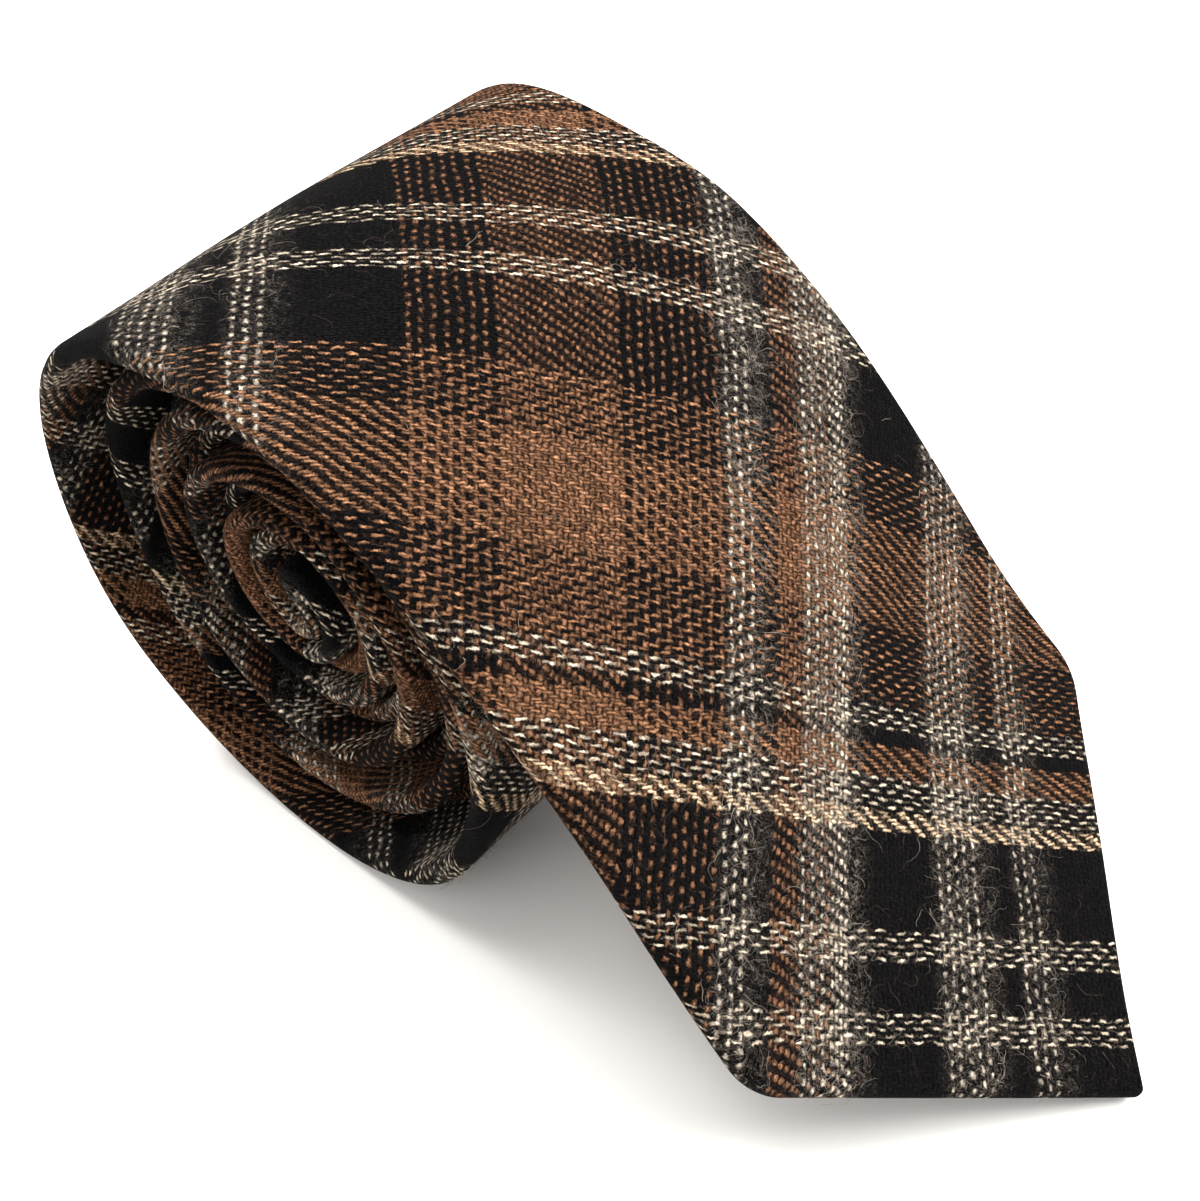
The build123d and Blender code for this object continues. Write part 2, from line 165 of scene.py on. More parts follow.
# how soft cloth differs from evenly wound turns, in millimetres along, across and out from the roll
WAVERS = ((0.8, 61, 0.5), (0.6, 27, 0.0), (0.4, 13, 2.0))     # how far, over what length, and phase
DRAWN_IN, DRAWN_IN_AT, DRAWN_IN_OVER, DRAWN_IN_DROP = 2.4, 72, 27, 1.4
SPREAD, SPREAD_AT, SPREAD_OVER = 2.0, 14, 19
BULGE, BULGE_TILT, BULGE_LESS_AT_ENDS = 5.1, 1.9, 1.1
BULGE_TURN, BULGE_SPAN = 1.0, 0.6                             # where round the roll, in radians
TURN_WAVE, END_WAVE = 0.25, 0.5                               # of the rolled cloth
FALL_WAVE, FALL_EDGE_WAVE = 0.25, 0.45                        # of the free blade
LIFT_Y, LIFT_Z = -0.6, 0.8                                    # the way the free blade's waves stand
CORE_SHIFT, CORE_Y, CORE_Z = 4.0, 0.73, 0.68


def near(along, place, spread):
    """1 at a place along the tie, dying away either side of it."""
    return np.exp(-((along - place) / spread) ** 2)


def rolled_up(flat):
    """Where points of the flat tie (across, along, up from the front) lie once it is rolled, in metres."""
    across, along, depth = flat[:, 0], flat[:, 1], -flat[:, 2]
    index = np.clip(np.searchsorted(STARTS, along, side="right") - 1, 0, len(PATH) - 1)
    arc = PATH[index]
    share = (along - STARTS[index]) / LENGTHS[index]
    angle = np.radians(arc[:, 4] + arc[:, 5] * share)
    reach = arc[:, 2] - arc[:, 3] * depth
    y, z = arc[:, 0] + reach * np.cos(angle), arc[:, 1] + reach * np.sin(angle)
    # the turns slip sideways over each other, and waver
    slip = arc[:, 6] + (arc[:, 7] - arc[:, 6]) * share
    waver = sum(far * np.sin(along / length + phase) for far, length, phase in WAVERS)
    slip = slip + eased(along, 150, 260) * waver
    # the bias-cut blade is drawn in at one side where it leaves the roll, and spreads near its point
    one_side = np.maximum(across / BLADE_HALF, 0) ** 1.5
    drawn_in = one_side * near(along, DRAWN_IN_AT, DRAWN_IN_OVER)
    slip = slip + SPREAD * one_side * near(along, SPREAD_AT, SPREAD_OVER) - DRAWN_IN * drawn_in
    # the soft roll is not round: it bulges at its back, most at its middle, and its turns wave a little
    ends = (across / BLADE_HALF) ** 2
    high = eased(z, 4, 20)
    wound = eased(along, 96, 150)
    back, up = y - ROLL_CENTRE[0], z - ROLL_CENTRE[1]
    turn, out = np.arctan2(up, back), np.hypot(back, up) / ROLL_RADIUS
    bulge = BULGE + BULGE_TILT * across / BLADE_HALF - BULGE_LESS_AT_ENDS * ends
    bulge = bulge * near(turn, BULGE_TURN, BULGE_SPAN)
    waves = TURN_WAVE * np.sin(3 * turn + 1.0) + END_WAVE * ends * np.sin(5 * turn + across / 16)
    swell = wound * high * waves + eased(along, 112, 150) * bulge * out ** 1.5
    # its core lies nearer to that bulge
    core = CORE_SHIFT * np.maximum(1 - out ** 2, 0) * wound
    lift = (1 - wound) * high * (FALL_EDGE_WAVE * np.sin(along / 13 + across / 21) * ends
                                 + FALL_WAVE * np.sin(across / 11 + along / 17) - DRAWN_IN_DROP * drawn_in)
    y = y + swell * np.cos(turn) + lift * LIFT_Y + core * CORE_Y
    z = z + swell * np.sin(turn) + lift * LIFT_Z + core * CORE_Z
    return np.stack([across + slip, y, np.maximum(z, 0.0)], 1) / 1000


def outline(half, far_half, far, tip_rounding, shoulder_rounding, step=0.05):
    """The right edge of one end of the tie, from its point: rows of across, along and the inward normal."""
    rows = []
    lead = tip_rounding * math.sqrt(2)
    for angle in np.linspace(0, 45, 24, endpoint=False):
        s, c = math.sin(math.radians(angle)), math.cos(math.radians(angle))
        rows.append((tip_rounding * s, lead - tip_rounding * c, -s, c))
    slope = (far_half - half) / (far - half)
    lean = math.atan(slope)
    bend = math.pi / 4 - lean
    tangent = shoulder_rounding * math.tan(bend / 2)
    root = 1 / math.sqrt(2)
    start, end = tip_rounding * root, half - tangent * root
    for along in np.arange(start, end, step):
        rows.append((along, along, -root, root))
    centre = (end - shoulder_rounding * root, end + shoulder_rounding * root)
    for share in np.linspace(0, 1, 60, endpoint=False):
        angle = -math.pi / 4 + bend * share
        out = (math.cos(angle), math.sin(angle))
        rows.append((centre[0] + shoulder_rounding * out[0], centre[1] + shoulder_rounding * out[1],
                     -out[0], -out[1]))
    first = half + tangent * math.cos(lean)
    for along in np.arange(first, far + step, step):
        rows.append((half + slope * (along - half), along, -math.cos(lean), math.sin(lean)))
    return np.array(rows)


BLADE_OUTLINE = outline(BLADE_HALF, NECK_HALF, FOLD, TIP_ROUNDING, SHOULDER_ROUNDING)
TAIL_OUTLINE = outline(TAIL_HALF, NECK_HALF, TOTAL - FOLD, TIP_ROUNDING, 5.0)


def fold_reach(along):
    """How far in the edge's round fold goes: less at the pressed point."""
    return TIP_FOLD + (EDGE_FOLD - TIP_FOLD) * eased(along, 1, 9)


def fold_length(reach):
    """Length of cloth round a folded edge."""
    half = THICKNESS / 2
    return math.pi * np.sqrt((reach ** 2 + half ** 2) / 2)


def window_edge(along, half, gable):
    """How far from the centre the turned-back edge stops: at the hem, the open lining, then the seam."""
    widest = HEM + half * WINDOW_SHARE
    opening = np.interp(along, [HEM, widest, gable], [0.0, half * WINDOW_SHARE, SEAM_HALF])
    return np.where(along <= HEM, 0.0, np.where(along >= gable, SEAM_HALF, opening))


def rows_between(shape, first, last, step, exact=()):
    """Rows of an outline whose inner points lie between two stations, with some stations met exactly."""
    inner = shape[:, 1] + shape[:, 3] * fold_reach(shape[:, 1])
    walked = np.concatenate([[0], np.cumsum(np.hypot(np.diff(shape[:, 0]), np.diff(shape[:, 1])))])
    at = lambda station: np.interp(station, inner, walked)
    low = at(first) if first > 0 else 0.0
    high = at(last)
    stops = sorted({low, high, *[float(at(s)) for s in exact if first < s < last]})
    places = []
    for a, b in zip(stops, stops[1:]):
        count = max(1, round((b - a) / step))
        places += list(np.linspace(a, b, count, endpoint=False))
    places = np.array(places + [high])
    if first <= 0:
        places = np.unique(np.concatenate([np.linspace(0, 0.9, 7), places[places > 1.0]]))
    return np.stack([np.interp(places, walked, shape[:, k]) for k in range(4)], 1)


def quads(grid):
    """The faces between the points of a grid."""
    return np.stack([grid[:-1, :-1], grid[:-1, 1:], grid[1:, 1:], grid[1:, :-1]], 2).reshape(-1, 4)


def folded_shell(name, shape, half, gable, first, last, step, front=40, back=14, fold=8, exact=(), flip=None,
                 cut_at=(0.0, 0.0)):
    """A length of folded cloth, flat: out along the back, round an edge, across the front, and back."""
    rows = rows_between(shape, first, last, step, exact)
    edge_x, edge_s, normal_x, normal_s = rows.T
    reach = fold_reach(edge_s)
    inner_x, inner_s = edge_x + normal_x * reach, edge_s + normal_s * reach
    inner_x[0] = 0.0 if first <= 0 else inner_x[0]
    stop = window_edge(inner_s, half, gable)
    stop = np.minimum(stop, inner_x)
    length = fold_length(reach)
    # (position, unfolded position) of every column on the right side, from the back's middle outwards
    right = []
    for share in np.linspace(0, 1, back, endpoint=False):
        x = stop + (inner_x - stop) * share
        right.append(("back", x, inner_s, np.full_like(x, -THICKNESS), None))
    for angle in np.linspace(math.pi, 0, fold + 1):
        inset = reach * (1 - math.sin(angle))
        x, s = edge_x + normal_x * inset, edge_s + normal_s * inset
        x = np.maximum(x, 0.0)
        z = np.full_like(x, -THICKNESS / 2 * (1 - math.cos(angle)))
        out = reach - length * angle / math.pi
        right.append(("edge", x, s, z, (edge_x + normal_x * out, edge_s + normal_s * out)))
    middle = []
    for share in np.linspace(1, -1, front + 1)[1:-1]:
        middle.append(("front", inner_x * share, inner_s, np.zeros_like(inner_x), (inner_x * share, inner_s)))
    left = [(kind, -x, s, z, None if flat is None else (-flat[0], flat[1]))
            for kind, x, s, z, flat in reversed(right)]
    columns = right + middle + left
    count, width = len(rows), len(columns)
    points = np.stack([np.stack([c[1], c[2], c[3]], 1) for c in columns], 1).reshape(-1, 3)
    grid = np.arange(count * width).reshape(count, width)
    faces = quads(grid)
    # plaid coordinates of each face's corners, on the cloth before it was folded
    kinds = np.array([c[0] == "back" for c in columns])
    back_face = np.tile(kinds[:-1] | kinds[1:], count - 1)
    plan_x = np.stack([c[4][0] if c[4] else c[1] for c in columns], 1).ravel()
    plan_s = np.stack([c[4][1] if c[4] else c[2] for c in columns], 1).ravel()
    corners = faces.ravel()
    cloth_x, cloth_s = plan_x[corners], plan_s[corners]
    behind = np.repeat(back_face, 4)
    x, s = points[corners, 0], points[corners, 1]
    middle_x = np.repeat(abs(points[faces, 0]).mean(1), 4)
    middle_s = np.repeat(points[faces, 1].mean(1), 4)
    row = corners // width
    side = np.sign(x + 1e-9 * np.sign(np.repeat(points[faces, 0].mean(1), 4)))
    spare = length[row] - 2 * reach[row]
    local_half = np.interp(s, shape[:, 1], shape[:, 0])
    to_slant = (s - abs(x)) / math.sqrt(2)
    to_side = local_half - abs(x)
    nearer_slant = ((middle_s - middle_x) / math.sqrt(2)
                    < np.interp(middle_s, shape[:, 1], shape[:, 0]) - middle_x)
    hemmed = nearer_slant & (middle_s < 2 * half)
    along_edge = (s + abs(x)) / math.sqrt(2)
    out = -(to_slant + spare)
    hem_x, hem_s = (along_edge - out) / math.sqrt(2), (along_edge + out) / math.sqrt(2)
    folded_x = np.where(hemmed, hem_x, local_half + to_side + spare)
    folded_s = np.where(hemmed, hem_s, s)
    cloth_x = np.where(behind, side * folded_x, cloth_x)
    cloth_s = np.where(behind, folded_s, cloth_s)
    if flip is not None:
        points[:, 1] = flip - points[:, 1]
        cloth_s = flip - cloth_s
        faces = faces[:, ::-1]
        cloth_x = cloth_x.reshape(-1, 4)[:, ::-1].ravel()
        cloth_s = cloth_s.reshape(-1, 4)[:, ::-1].ravel()
    mesh = bpy.data.meshes.new(name)
    mesh.from_pydata(points.tolist(), [], faces.tolist())
    weave = mesh.uv_layers.new(name="weave")
    u = (cloth_s - cloth_x) / math.sqrt(2) + cut_at[0]
    v = (cloth_s + cloth_x) / math.sqrt(2) + cut_at[1]
    weave.data.foreach_set("uv", np.stack([u, v], 1).ravel().astype(np.float32))
    return finish_sheet(mesh, name, CLOTH)


def finish_sheet(mesh, name, thickness):
    """A flat sheet gets its thickness below it, is rolled up, and is smoothed."""
    shape = bmesh.new()
    shape.from_mesh(mesh)
    bmesh.ops.remove_doubles(shape, verts=shape.verts, dist=1e-4)
    bmesh.ops.dissolve_degenerate(shape, edges=shape.edges, dist=1e-5)
    front = max(shape.faces, key=lambda f: (round(f.calc_center_median().z, 2),
                                            f.calc_area() * abs(f.normal.z)))
    if front.normal.z < 0:
        bmesh.ops.reverse_faces(shape, faces=shape.faces)
    shape.to_mesh(mesh)
    shape.free()
    piece = bpy.data.objects.new(name, mesh)
    bpy.context.scene.collection.objects.link(piece)
    bpy.ops.object.select_all(action="DESELECT")
    piece.select_set(True)
    bpy.context.view_layer.objects.active = piece
    walls = piece.modifiers.new("cloth", "SOLIDIFY")
    walls.thickness = thickness
    walls.offset = -1
    bpy.ops.object.modifier_apply(modifier="cloth")
    roll(piece)
    bpy.ops.object.shade_smooth_by_angle(angle=math.radians(50))
    return piece


def roll(piece):
    """Rolls up a flat piece: its vertices go from flat millimetres to metres on the rolled tie."""
    data = piece.data
    flat = np.zeros(len(data.vertices) * 3)
    data.vertices.foreach_get("co", flat)
    data.vertices.foreach_set("co", rolled_up(flat.reshape(-1, 3)).ravel())
    data.update()


def closed_piece(name, mesh):
    """A piece from a flat mesh that is closed already: faces outward, rolled up and smoothed."""
    piece = bpy.data.objects.new(name, mesh)
    bpy.context.scene.collection.objects.link(piece)
    shape = bmesh.new()
    shape.from_mesh(mesh)
    bmesh.ops.recalc_face_normals(shape, faces=shape.faces)
    shape.to_mesh(mesh)
    shape.free()
    roll(piece)
    mesh.shade_smooth()
    return piece


def colour(code):
    """An sRGB hex colour as linear RGBA."""
    parts = [int(code[i:i + 2], 16) / 255 for i in (0, 2, 4)]
    return [c / 12.92 if c <= 0.04045 else ((c + 0.055) / 1.055) ** 2.4 for c in parts] + [1.0]


def add(tree, kind, settings=None, inputs=None):
    """Adds a node with its settings, and its inputs as values or links.  Returns its first output."""
    made = tree.nodes.new("ShaderNode" + kind)
    for name, value in (settings or {}).items():
        setattr(made, name, value)
    for name, value in (inputs or {}).items():
        if isinstance(value, bpy.types.NodeSocket):
            tree.links.new(value, made.inputs[name])
        else:
            made.inputs[name].default_value = value
    return made.outputs[0] if len(made.outputs) else made


def calc(tree, operation, *values):
    """A Math node on values or links."""
    return add(tree, "Math", {"operation": operation}, dict(enumerate(values)))


def either(tree, share, first, second):
    """The first value where share is 0, the second where it is 1."""
    return add(tree, "Mix", {"data_type": "FLOAT"}, {0: share, 2: first, 3: second})


def tinted(tree, share, first, second):
    """The first colour where share is 0, the second where it is 1."""
    return add(tree, "MixRGB", {}, {0: share, 1: first, 2: second})


def noise(tree, place, scale, detail):
    """Flat noise over a place on the cloth."""
    return add(tree, "TexNoise", {"noise_dimensions": "2D"},
               {"Vector": place, "Scale": scale, "Detail": detail})


def stretched(tree, place, by):
    """A place multiplied by an amount along each axis."""
    return add(tree, "VectorMath", {"operation": "MULTIPLY"}, {0: place, 1: by})


def ranged(tree, value, low, high, to_low=0.0, to_high=1.0):
    """A value's range moved to another."""
    return add(tree, "MapRange", {}, {"Value": value, "From Min": low, "From Max": high, "To Min": to_low,
                                      "To Max": to_high})


def finished(tree, shader, paint, height, strength, distance, roughness):
    """Gives the shader its colour, its relief and its roughness."""
    tree.links.new(paint, shader.inputs["Base Color"])
    bump = add(tree, "Bump", {}, {"Strength": strength, "Distance": distance, "Height": height})
    tree.links.new(bump, shader.inputs["Normal"])
    shader.inputs["Roughness"].default_value = roughness


def surface(name):
    """A new material's node tree and its Principled shader."""
    material = bpy.data.materials.new(name)
    material.use_nodes = True
    return material, material.node_tree, material.node_tree.nodes["Principled BSDF"]


BLACK, CREAM, BEIGE, BROWN = "0b090a", "d6c4ac", "d9b996", "906649"
DULL_CREAM, DULL_BROWN = "bdaf9d", "7c573f"      # the softer weft yarn is duller
WARP_PITCH, WEFT_PITCH = 0.38, 0.68
# (threads, colour of the even ones, colour of the odd ones) from the point's corner
WARP = [(14, BLACK, BLACK), (9, CREAM, BLACK), (13, BLACK, BLACK), (11, BLACK, CREAM), (28, BLACK, BLACK),
        (6, BEIGE, BEIGE), (10, CREAM, BLACK), (10, BROWN, BROWN), (4, BLACK, BLACK), (9, CREAM, BLACK),
        (24, BROWN, BLACK), (34, BROWN, BROWN), (22, BROWN, BLACK), (18, BLACK, BLACK)]
WEFT = [(18, BLACK, BLACK), (5, DULL_CREAM, BLACK), (9, BLACK, BLACK), (9, DULL_CREAM, BLACK),
        (20, BLACK, BLACK), (4, CREAM, DULL_CREAM), (6, DULL_CREAM, DULL_BROWN), (6, DULL_BROWN, DULL_BROWN),
        (4, BLACK, BLACK), (6, DULL_CREAM, BLACK), (20, DULL_BROWN, BLACK), (20, DULL_BROWN, DULL_BROWN),
        (15, DULL_BROWN, BLACK), (2, BLACK, BLACK)]


def stripes(tree, thread, sett):
    """The colour of the thread with this number, from the order that the threads were laid in."""
    period = sum(count for count, _, _ in sett)
    # a ramp is read in steps a little finer than a thread, so it is read near each thread's far side
    place = calc(tree, "MULTIPLY_ADD", thread, 1 / period, 0.93 / period)
    place = calc(tree, "FRACT", place)
    sorts = []
    for parity in (1, 2):
        ramp = tree.nodes.new("ShaderNodeValToRGB")
        ramp.color_ramp.interpolation = "CONSTANT"
        tree.links.new(place, ramp.inputs[0])
        begin = 0
        for number, group in enumerate(sett):
            elements = ramp.color_ramp.elements
            stop = elements[0] if number == 0 else elements.new(begin / period)
            stop.color = colour(group[parity])
            begin += group[0]
        last = ramp.color_ramp.elements[-1]
        if last.position > 0.9999:
            ramp.color_ramp.elements.remove(last)
        sorts.append(ramp.outputs[0])
    odd = calc(tree, "FLOORED_MODULO", thread, 2.0)
    odd = calc(tree, "GREATER_THAN", odd, 0.5)
    return tinted(tree, odd, sorts[0], sorts[1])


def flannel():
    """Brushed cotton flannel, yarn-dyed and woven 2/2 twill: matt, with each float of yarn a short dash."""
    material, tree, shader = surface("brushed_cotton_flannel")
    weave = add(tree, "UVMap", {"uv_map": "weave"})
    # yarns wander a little from their straight lines, and their sides are ragged with loose fibre
    place = weave
    for scale, wide, high in ((0.22, 0.9, 0.9), (1.1, 0.5, 0.34), (3.4, 0.42, 0.30), (9.0, 0.24, 0.18)):
        wander = noise(tree, weave, scale, 1.0)
        shift = add(tree, "VectorMath", {"operation": "MULTIPLY_ADD"},
                    {0: wander.node.outputs["Color"], 1: (wide, high, 0), 2: (-wide / 2, -high / 2, 0)})
        place = add(tree, "VectorMath", {"operation": "ADD"}, {0: place, 1: shift})
    split = add(tree, "SeparateXYZ", {}, {0: place}).node
    weft_run = calc(tree, "DIVIDE", split.outputs[0], WEFT_PITCH)
    warp_run = calc(tree, "DIVIDE", split.outputs[1], WARP_PITCH)
    weft = calc(tree, "FLOOR", weft_run)
    warp = calc(tree, "FLOOR", warp_run)
    weft_across = calc(tree, "FRACT", weft_run)
    warp_across = calc(tree, "FRACT", warp_run)
    # 2/2 twill: each yarn goes over two and under two, one step further at each neighbour
    step = calc(tree, "SUBTRACT", weft, warp)
    step = calc(tree, "FLOORED_MODULO", step, 4.0)
    weft_up = calc(tree, "GREATER_THAN", step, 1.5)
    warp_along = calc(tree, "ADD", step, weft_across)
    weft_along = calc(tree, "SUBTRACT", 3.0, step)
    weft_along = calc(tree, "ADD", weft_along, warp_across)
    along = either(tree, weft_up, warp_along, weft_along)
    across = either(tree, weft_up, warp_across, weft_across)
    # a float is a rounded dash: high in its middle, and down at its sides and both ends
    dash = []
    slim = either(tree, weft_up, 1.3, 2.3)
    for run, turn, power in ((along, math.pi / 2, 0.7), (across, math.pi, slim)):
        wave = calc(tree, "MULTIPLY", run, turn)
        wave = calc(tree, "SINE", wave)
        wave = calc(tree, "MAXIMUM", wave, 0.0)
        dash.append(calc(tree, "POWER", wave, power))
    body = calc(tree, "MULTIPLY", dash[0], dash[1])
    # fibres lie along each yarn
    strands = []
    for x, y in ((2.2, 10.0), (10.0, 2.2)):
        grain = stretched(tree, place, (x, y, 1.0))
        strands.append(noise(tree, grain, 1.0, 2.0))
    fibre = either(tree, weft_up, strands[0], strands[1])
    # no two yarns are dyed or spun quite alike, no two floats lie alike, and the brushing is uneven
    yarn = either(tree, weft_up, warp, weft)
    cell = add(tree, "CombineXYZ", {}, {0: weft, 1: warp, 2: weft_up})
    tone = add(tree, "TexWhiteNoise", {"noise_dimensions": "1D"}, {"W": yarn})
    lie = add(tree, "TexWhiteNoise", {"noise_dimensions": "3D"}, {"Vector": cell})
    worn = noise(tree, weave, 0.9, 4.0)
    stripe_warp, stripe_weft = stripes(tree, warp, WARP), stripes(tree, weft, WEFT)
    paint = tinted(tree, weft_up, stripe_warp, stripe_weft)
    # painted light: each float is painted bright on its crown and nearly black at its sides and ends, a
    # painted highlight on the yarn and painted shade in the gaps between yarns
    light = ranged(tree, body, 0.0, 0.85, 0.04, 1.1)
    for value, low, high, dark, bright in (
            (fibre, 0.3, 0.68, 0.3, 1.5), (tone, 0, 1, 0.8, 1.12),
            (lie, 0, 1, 0.4, 1.35), (worn, 0.35, 0.65, 0.72, 1.12)):
        change = ranged(tree, value, low, high, dark, bright)
        light = calc(tree, "MULTIPLY", light, change)
    paint = add(tree, "VectorMath", {"operation": "SCALE"}, {0: paint, "Scale": light})
    # the brushed nap: long fine fibres lying over the weave every way, the colour of the yarns that they
    # were brushed from, so pale ones lie over the black beside the white weft stripes
    nap = None
    for angle, scale, width in ((0.3, 0.8, 0.020), (1.2, 1.1, 0.024), (2.1, 0.9, 0.020), (2.8, 1.3, 0.026)):
        lain = add(tree, "VectorRotate", {"rotation_type": "Z_AXIS"}, {"Vector": place, "Angle": angle})
        lain = stretched(tree, lain, (0.42 * scale, 1.9 * scale, 1.0))
        curl = add(tree, "TexNoise", {"noise_dimensions": "2D"},
                   {"Vector": lain, "Scale": 1.0, "Detail": 0.0, "Distortion": 0.9})
        line = calc(tree, "SUBTRACT", curl, 0.5)
        line = calc(tree, "ABSOLUTE", line)
        line = ranged(tree, line, 0.0, width, 1.0, 0.0)
        patch = add(tree, "VectorMath", {"operation": "ADD"}, {0: weave, 1: (37 * angle, 11.0, 0)})
        patch = noise(tree, patch, 0.8, 2.0)
        patch = ranged(tree, patch, 0.42, 0.6)
        line = calc(tree, "MULTIPLY", line, patch)
        nap = line if nap is None else calc(tree, "MAXIMUM", nap, line)
    period = sum(count for count, _, _ in WEFT)
    beside = calc(tree, "MULTIPLY_ADD", weft_run, 1 / period, 0.5 / period)
    beside = calc(tree, "FRACT", beside)
    pale = tree.nodes.new("ShaderNodeValToRGB")
    tree.links.new(beside, pale.inputs[0])
    for first, last, strength in WHITE_WEFT:
        for thread, value in ((first - 5, 0.0), (first, strength), (last, strength), (last + 2.5, 0.0)):
            stop = pale.color_ramp.elements.new(thread / period)
            stop.color = (value, value, value, 1)
    pale.color_ramp.elements[0].color = (0, 0, 0, 1)
    pale.color_ramp.elements[-1].color = (0, 0, 0, 1)
    hair = tinted(tree, 0.5, stripe_warp, stripe_weft)
    hair = add(tree, "MixRGB", {"blend_type": "ADD"}, {0: 1.0, 1: hair, 2: colour("15110f")})
    hair = tinted(tree, pale.outputs[0], hair, colour("b5a797"))
    cover = ranged(tree, pale.outputs[0], 0.0, 1.0, 0.5, 0.55)
    nap = calc(tree, "MULTIPLY", nap, cover)
    paint = tinted(tree, nap, paint, hair)
    height = calc(tree, "MULTIPLY_ADD", fibre, 0.5, body)
    height = calc(tree, "MULTIPLY_ADD", nap, 0.5, height)
    finished(tree, shader, paint, height, 0.9, 0.00025, 1.0)
    shader.inputs["Specular IOR Level"].default_value = 0.02
    shader.inputs["Sheen Weight"].default_value = 0.012
    shader.inputs["Sheen Roughness"].default_value = 0.5
    return material


# (first thread, last thread, how much nap)
WHITE_WEFT = ((18, 23, 0.5), (32, 41, 0.9), (61, 71, 1.0), (81, 87, 0.8))
FLANNEL = flannel()
WINDOW_STATIONS = (HEM, HEM + BLADE_HALF * WINDOW_SHARE, BLADE_GABLE)

lower_blade = folded_shell("blade_cloth_lower", BLADE_OUTLINE, BLADE_HALF, BLADE_GABLE, 0.0, LOWER_END, 0.9,
                           front=48, back=20, exact=WINDOW_STATIONS)
upper_blade = folded_shell("blade_cloth_upper", BLADE_OUTLINE, BLADE_HALF, BLADE_GABLE, LOWER_END, UPPER_END,
                           0.9, front=48, back=20)
rolled_blade = folded_shell("blade_cloth_rolled", BLADE_OUTLINE, BLADE_HALF, BLADE_GABLE, UPPER_END,
                            BLADE_SEAM - SEAM_GAP, 1.3, front=48, back=10)


def made_of(piece, material, node):
    """Gives a piece its material and its slot, and hides the CAD solid that it stands for."""
    piece.data.materials.append(material)
    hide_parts(node)


made_of(lower_blade, FLANNEL, "blade_shell_tip")
made_of(upper_blade, FLANNEL, "blade_shell_fall")
made_of(rolled_blade, FLANNEL, "blade_shell_rolled")


def bends_at_roll(piece):
    """Bakes the piece's transform into its mesh; it is bound to no hinge or body."""
    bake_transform(piece)


def bends_at_tip(piece):
    """Bakes the piece's transform into its mesh; it is bound to no body."""
    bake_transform(piece)


def follows(piece, stretch):
    """Binds the rolled length of a layer to the roll; the lower and upper lengths only have their transforms
    baked.
    """
    if stretch == "lower":
        bends_at_tip(piece)
    elif stretch == "upper":
        bends_at_roll(piece)
    else:
        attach(piece, "roll")


follows(lower_blade, "lower")
follows(upper_blade, "upper")
follows(rolled_blade, "rolled")


# ------------------------------------------------------------
# Neck and tail: two more lengths of the same flannel, joined on by a seam, rolled inside the blade.
# They were cut from another place in the cloth, so their plaid does not run on from the blade's.


def even_outline(first, last, step=0.5):
    """The right edge of the tie between two stations, away from its points."""
    along = np.arange(first - step, last + 2 * step, step)
    return np.stack([half_width(along), along, np.full_like(along, -1.0), np.zeros_like(along)], 1)


CORE_STATIONS = tuple(np.arange(FOLD - 6, FOLD + 12, 0.45))
neck = folded_shell("neck_cloth", even_outline(BLADE_SEAM, TAIL_SEAM), 0.0, -1.0, BLADE_SEAM + SEAM_GAP,
                    TAIL_SEAM - SEAM_GAP, 1.2, front=24, back=8, exact=CORE_STATIONS, cut_at=(31.0, 17.0))
tail = folded_shell("tail_cloth", TAIL_OUTLINE, TAIL_HALF, TAIL_GABLE, 0.0,
                    TOTAL - TAIL_SEAM - SEAM_GAP, 1.3, front=28, back=10, flip=TOTAL,
                    exact=(HEM, HEM + TAIL_HALF * WINDOW_SHARE, TAIL_GABLE), cut_at=(52.0, 64.0))
for piece, node in ((neck, "neck_shell"), (tail, "tail_shell")):
    made_of(piece, FLANNEL, node)
    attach(piece, "roll")

# ------------------------------------------------------------
# Nap: the brushed cotton's loose fibres, curled and standing off the cloth by up to half a
# millimetre.  Most come from the soft white weft yarns; the rest are brown.

THIN_HAIR, THICK_HAIR = 0.008, 0.022      # radius; real ones are about 0.01, and the thick ones are tufts
HAIR_POINTS = 7
TRIES_PER_HAIR = 14
STRAY_CHANCE, STRIPE_CHANCE, SURE_CHANCE = 0.06, 1.3, 1.9     # away from pale stripes, in one, and certain
STRAY_PALE, STRIPE_PALE, MOST_PALE = 0.05, 0.9, 0.92          # how likely a hair is pale
SHORTEST_HAIR, LONGEST_HAIR = 0.6, 4.5
LOWEST_RISE, HIGHEST_RISE, SKIN = 0.08, 0.5, 0.03             # how far a hair stands off the cloth
EDGE_HANG = 0.9                                               # how far hairs reach past the folded edge
HAIR_CORNERS = (0.0, 2.094, 4.189)                            # round a hair, in radians


def cotton_fibre(name, dark, light, glow):
    """A single brushed-up cotton fibre: matt, and uneven in colour along its length."""
    material, tree, shader = surface(name)
    place = add(tree, "TexCoord").node.outputs["Object"]
    patches = add(tree, "TexNoise", {}, {"Vector": place, "Scale": 900.0, "Detail": 1.0})
    patches = ranged(tree, patches, 0.35, 0.65)
    paint = tinted(tree, patches, colour(dark), colour(light))
    tree.links.new(paint, shader.inputs["Base Color"])
    shader.inputs["Roughness"].default_value = 0.75
    shader.inputs["Specular IOR Level"].default_value = 0.25
    shader.inputs["Sheen Weight"].default_value = glow
    return material


PALE_FIBRE = cotton_fibre("pale_cotton_fibre", "7d7268", "b8ab9c", 0.03)
DARK_FIBRE = cotton_fibre("brown_cotton_fibre", "2c2422", "6e5443", 0.03)
WHITE_WARP = ((14, 23, 0.35), (36, 47, 0.35), (75, 91, 0.4), (105, 114, 0.35))


